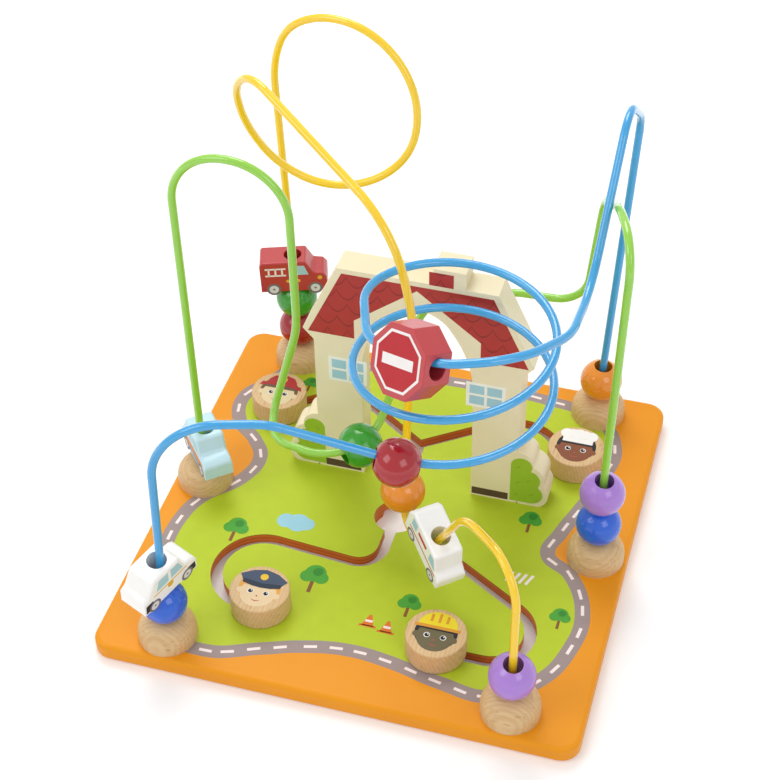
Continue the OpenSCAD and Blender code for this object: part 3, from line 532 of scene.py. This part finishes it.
# Moulded nylon is dark and dull, with a faintly pitted skin.
moulded_nylon, tree, shader = material("moulded_nylon", Roughness=0.55, Base_Color=linear("#3A3A3C"))
coat_bump(tree, shader, 0.7 * MM, 0.04 * MM)
for who, (skin, hair, hat) in HATS.items():
    low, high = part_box(who + "_figure")
    softened(who + "_figure", who + "_figure", DISC_EDGE, disc_beech, "beech")
    finish_node(who + "_guide", moulded_nylon)
    face = [(hair, 1, (0, 0.2, FACE_R)), (skin, 2, (0, -3, FACE_R * 0.86)),
            (skin, 3, (-EAR_OUT, EAR_Y, EAR_R)), (skin, 4, (EAR_OUT, EAR_Y, EAR_R)),
            (hair, 5, bar(0, 3.2, 0, FACE_R * 1.6, 3)),
            ("mouth", 4, SMILE), ("mouth", 4, NOSE)]
    for side in (-1, 1):
        face += [(part, layer, (side * x + shift, y, r)) for part, layer, x, shift, y, r in EYE]
    disc_top = Matrix.Translation(((low.x + high.x) / 2, (low.y + high.y) / 2, high.z))
    prints(who + "_face_print", disc_top, face + hat, face_inks, who + "_figure", "beech")

# Beads: turned hardwood balls with flat ends and a wide bore, tumbled in bright gloss lacquer.
# The coat is smooth, with a faint trace of the wood's grain under it.
BEAD_LACQUERS = {"blue": "#1F62D8", "lavender": "#AC7FD6", "orange": "#EC8F22", "red": "#A91723",
                 "green": "#2F9A22"}
for colour, code in BEAD_LACQUERS.items():
    lacquer, tree, shader = material("gloss_lacquer_" + colour, Roughness=0.16, IOR=1.45, Coat_Weight=0.3,
                                     Coat_Roughness=0.06)
    place = coat_bump(tree, shader, 2.5 * MM, 0.06 * MM)
    clouded(tree, shader, place, code, 6 * MM, 4.0, 0.96, 1.03)
    for node in nodes:
        if node.startswith(colour + "_bead_"):
            finish_node(node, lacquer)

# Vehicles: four flat-sided wooden blocks with rounded edges and a bore from roof to belly.
# They are sprayed in satin lacquer, which gives a soft, even shine.
# Wheels, windows and stripes are printed on both sides.
VEHICLE_BODY = {"police_car": "#FAF9F6", "ambulance": "#FAFAF7", "fire_engine": "#B83030",
                "blue_car": "#C3E4EF"}
VEHICLE_FRONT = {"police_car": (0.36, 0.93, 0), "ambulance": (0.61, -0.7, -0.38),
                 "fire_engine": (0.95, 0.3, 0), "blue_car": (0.64, -0.77, 0)}
VEHICLE_SLOT = {"police_car": "white_lacquer", "ambulance": "white_lacquer",
                "fire_engine": "fire_red_lacquer", "blue_car": "light_blue_lacquer"}
VEHICLE_INKS = {"tyre": "#757375", "hub": "#DCDADA", "glass": "#A6CFD6", "black": "#2A2829",
                "gold": "#E3B23A", "red": "#C23A38", "pale": "#F1E6E0", "orange": "#DE8A3A", "sea": "#4E8FC4"}
VEHICLE_H, AXLE_X, AXLE_Z = 24.0, 14, 2
WHEEL_TOP, BORE_RIM, VEHICLE_EDGE, BELLY_EDGE = 7.5 * MM, 7 * MM, 2 * MM, 0.6 * MM
WHEEL = [("tyre", 4, 4.7), ("hub", 5, 3.2), ("tyre", 6, 0.8)]
WHEELS = [(part, layer, (x, AXLE_Z, r)) for x in (-AXLE_X, AXLE_X) for part, layer, r in WHEEL]
CAR_GLASS = [("glass", 2, [(-11.5, 13), (-1.2, 13), (-1.2, 21), (-9, 21)]),
             ("glass", 2, [(1, 13), (11, 13), (7.6, 21), (1, 21)])]
VEHICLE_PRINT = {
    "police_car": WHEELS + CAR_GLASS + [("black", 2, [(-21.5, 1), (-15, 1), (-15, 8), (-21, 8)]),
                                        ("black", 2, [(15, 1), (21.5, 1), (21, 7), (15, 7)]),
                                        ("gold", 2, bar(0, 10.5, 0, 28, 1)), ("gold", 3, (0, 8.4, 2.4))],
    "ambulance": WHEELS + [("glass", 2, [(7, 12.5), (15.5, 12.5), (11.6, 20.5), (7, 20.5)]),
                           ("glass", 2, bar(-14, 16.5, 0, 6, 8)), ("red", 2, bar(-3, 16.5, 0, 11, 3.2)),
                           ("red", 2, bar(0, 8.6, 0, 36, 1.2))],
    "fire_engine": WHEELS + [("glass", 2, [(1, 13.5), (10.2, 13.5), (7.4, 21), (1, 21)]),
                             ("gold", 2, (17.5, 10.5, 1.6)), ("gold", 2, (-4, 8.5, 1.3)),
                             ("gold", 2, (3, 8.5, 1.3)),
                             ("pale", 2, bar(-12, 19, 0, 14, 1.3)), ("pale", 2, bar(-12, 13.5, 0, 14, 1.3))]
                   + [("pale", 2, bar(x, 16.25, math.pi / 2, 6, 1.3)) for x in (-16.5, -12, -7.5)],
    "blue_car": WHEELS + CAR_GLASS + [("orange", 2, [(-21, 5), (10, 5), (20, 9.5), (6, 10.5), (-20, 10)]),
                                      ("sea", 2, bar(0, 3.2, 0, 20, 2))],
}


def own_axes(node, towards):
    """A flat-sided block's top point, its axes to the front, up and out of one side, and half its width."""
    areas = {}
    for p in nodes[node].data.polygons:
        key = tuple(round(c, 2) for c in p.normal)
        areas.setdefault(key, [0.0, Vector()])
        areas[key][0] += p.area
        areas[key][1] += p.normal * p.area
    ranked = [v[1].normalized() for v in sorted(areas.values(), key=lambda v: -v[0])]
    side = ranked[0]
    square = [n for n in ranked if abs(n.dot(side)) < 0.03]   # the faces round the block's edge
    forward = Vector(towards).normalized()
    up = max(square[:6], key=lambda n: n.dot(Vector((0, 0, 1)) - forward * forward.z))
    front = up.cross(side)
    if front.dot(forward) < 0:
        side, front = -side, -front
    points = [v.co for v in nodes[node].data.vertices]
    top = up * max(p.dot(up) for p in points)
    for axis in (front, side):
        reach = [p.dot(axis) for p in points]
        top += axis * (min(reach) + max(reach)) / 2
    half = (max(reach) - min(reach)) / 2
    return top, front, up, side, half


def above_wheels(belly, up):
    """A test that picks the edges above the wheels and away from the bore."""
    def upper(edge):
        places = [v.co - belly for v in edge.verts]
        return all(p.dot(up) > WHEEL_TOP and (p - up * p.dot(up)).length > BORE_RIM for p in places)
    return upper


vehicle_inks = {name: ink("vehicle_" + name, code) for name, code in VEHICLE_INKS.items()}
for node, code in VEHICLE_BODY.items():
    coat, tree, shader = material("satin_lacquer_" + node, Roughness=0.36, Coat_Weight=0.25)
    place = coat_bump(tree, shader, 1.5 * MM, 0.05 * MM)
    clouded(tree, shader, place, code, 8 * MM, 3.0, 0.95, 1.04)
    top, front, up, side, half = own_axes(node, VEHICLE_FRONT[node])
    belly = top - up * VEHICLE_H * MM
    softened(node, node, BELLY_EDGE, coat, VEHICLE_SLOT[node], above_wheels(belly, up), VEHICLE_EDGE)
    for tag, out in (("left", side), ("right", -side)):
        plane = Matrix((front, up, out)).transposed().to_4x4()
        plane.translation = belly + out * half
        prints(node + "_" + tag + "_print", plane, VEHICLE_PRINT[node], vehicle_inks, node,
               VEHICLE_SLOT[node])

# Road sign: a thick octagonal block of wood, bored through from side to side and threaded on the wire.
# It is sprayed red in satin lacquer, with a white ring and a plain white bar printed on both faces.
SIGN_RED, SIGN_WHITE = "#BE343A", "#F6F1EE"
SIGN_W, SIGN_EDGE, SIGN_FRONT = 40 * MM, 1.2 * MM, (0.85, -0.45, 0.25)
SIGN_RING, SIGN_RING_W, SIGN_BAR = 16.6, 1.5, (0, 0, 0, 23, 6)
sign_lacquer, tree, shader = material("satin_lacquer_sign", Roughness=0.38, Coat_Weight=0.25)
place = coat_bump(tree, shader, 1.5 * MM, 0.05 * MM)
clouded(tree, shader, place, SIGN_RED, 8 * MM, 3.0, 0.95, 1.04)
softened("road_sign", "road_sign", SIGN_EDGE, sign_lacquer, "red_lacquer")
sign_inks = {"white": ink("sign_white", SIGN_WHITE), "red": ink("sign_red", SIGN_RED)}


def octagon(flat):
    """An octagon's outline with that distance from its middle to each flat side."""
    r = flat / math.cos(math.pi / 8)
    turns = [math.pi / 8 + i * math.pi / 4 for i in range(8)]
    return [(r * math.cos(a), r * math.sin(a)) for a in turns]


sign_top, _, sign_up, sign_side, sign_half = own_axes("road_sign", SIGN_FRONT)
sign_mid = sign_top - sign_up * SIGN_W / 2
sign_shapes = [("white", 2, octagon(SIGN_RING)), ("red", 3, octagon(SIGN_RING - SIGN_RING_W)),
               ("white", 4, bar(*SIGN_BAR))]
for tag, out in (("front", sign_side), ("back", -sign_side)):
    plane = Matrix((sign_up.cross(out), sign_up, out)).transposed().to_4x4()
    plane.translation = sign_mid + out * sign_half
    prints("road_sign_" + tag + "_print", plane, sign_shapes, sign_inks, "road_sign", "red_lacquer")

# Studio: a white paper floor, which keeps the soft shadow under the board and shows white round it.
# A large soft lamp stands behind, two weaker ones stand in front, and the camera is where the photo's was.
CAMERA_PLACE = (0.22344, -0.76002, 0.85444)
CAMERA_TURN, CAMERA_HEIGHT, CAMERA_ROLL = 16.579, 42.72, -0.798
LENS, SENSOR = 82.75, 36
FLOOR_HALF, SHADOW_END, WHITE_FROM, SHADOW_GLOW = 6.0, 0.4, 1.3, 0.12
LAMPS = [("key", (-0.5, 0.9, 1.8), 1.0, 17), ("fill", (1.2, -1.0, 1.2), 0.9, 6),
         ("front", (-1.1, -0.9, 1.3), 0.9, 7)]   # name, place, size in metres, watts
LAMP_AIM, WORLD_LEVEL = Vector((0, 0, 0.08)), 0.62


def shows_background(tree):
    """1 where a ray shows the background itself: to the camera, in a reflection or through glass."""
    path = add(tree, "LightPath").outputs
    seen = add(tree, "Math", {0: path["Is Camera Ray"], 1: path["Is Glossy Ray"]}, operation="MAXIMUM")
    return add(tree, "Math", {0: seen.outputs[0], 1: path["Is Transmission Ray"]},
               operation="MAXIMUM").outputs[0]


bm = bmesh.new()
bmesh.ops.create_grid(bm, x_segments=2, y_segments=2, size=FLOOR_HALF)
floor_mesh = bpy.data.meshes.new("floor")
bm.to_mesh(floor_mesh)
bm.free()
floor = bpy.data.objects.new("floor", floor_mesh)
bpy.context.scene.collection.objects.link(floor)
# White paper is dull and even, and glows a little more the further it lies from the board.
paper, tree, shader = material("white_paper", Roughness=0.9, Base_Color=linear("#F7F7F7"))
away = add(tree, "VectorMath", {0: add(tree, "TexCoord").outputs["Object"]}, operation="LENGTH")
whiter = add(tree, "MapRange", {"Value": away.outputs["Value"], "From Min": SHADOW_END,
                                "From Max": WHITE_FROM, "To Min": SHADOW_GLOW})
glow = add(tree, "Emission", {"Color": linear("#FFFFFF"), "Strength": whiter.outputs[0]})
dark = add(tree, "Emission", {"Strength": 0.0})
lift = add(tree, "MixShader", {0: shows_background(tree), 1: dark.outputs[0], 2: glow.outputs[0]})
both = add(tree, "AddShader", {0: shader.outputs[0], 1: lift.outputs[0]})
tree.links.new(both.outputs[0], tree.nodes["Material Output"].inputs["Surface"])
floor_mesh.materials.append(paper)

for name, at, size, watts in LAMPS:
    lamp = bpy.data.lights.new(name, "AREA")
    lamp.size, lamp.energy = size, watts
    obj = bpy.data.objects.new(name, lamp)
    obj.location = at
    obj.rotation_euler = (LAMP_AIM - Vector(at)).to_track_quat("-Z", "Y").to_euler()
    bpy.context.scene.collection.objects.link(obj)
world = bpy.data.worlds.new("studio")
world.use_nodes = True
bpy.context.scene.world = world
sky = world.node_tree.nodes["Background"]
sky.inputs["Color"].default_value = linear("#FFFFFF")
level = add(world.node_tree, "MapRange", {"Value": shows_background(world.node_tree),
                                          "To Min": WORLD_LEVEL, "To Max": 1.0})
world.node_tree.links.new(level.outputs[0], sky.inputs["Strength"])

camera = bpy.data.cameras.new("photo_camera")
camera.lens, camera.sensor_width = LENS, SENSOR
eye = bpy.data.objects.new("photo_camera", camera)
turn = Matrix.Rotation(math.radians(CAMERA_TURN), 4, "Z")
tilt = Matrix.Rotation(math.radians(90 - CAMERA_HEIGHT), 4, "X")
roll = Matrix.Rotation(math.radians(CAMERA_ROLL), 4, "Z")
eye.matrix_world = Matrix.Translation(CAMERA_PLACE) @ turn @ tilt @ roll
bpy.context.scene.collection.objects.link(eye)
bpy.context.scene.camera = eye
bpy.context.scene.view_settings.view_transform = "Standard"
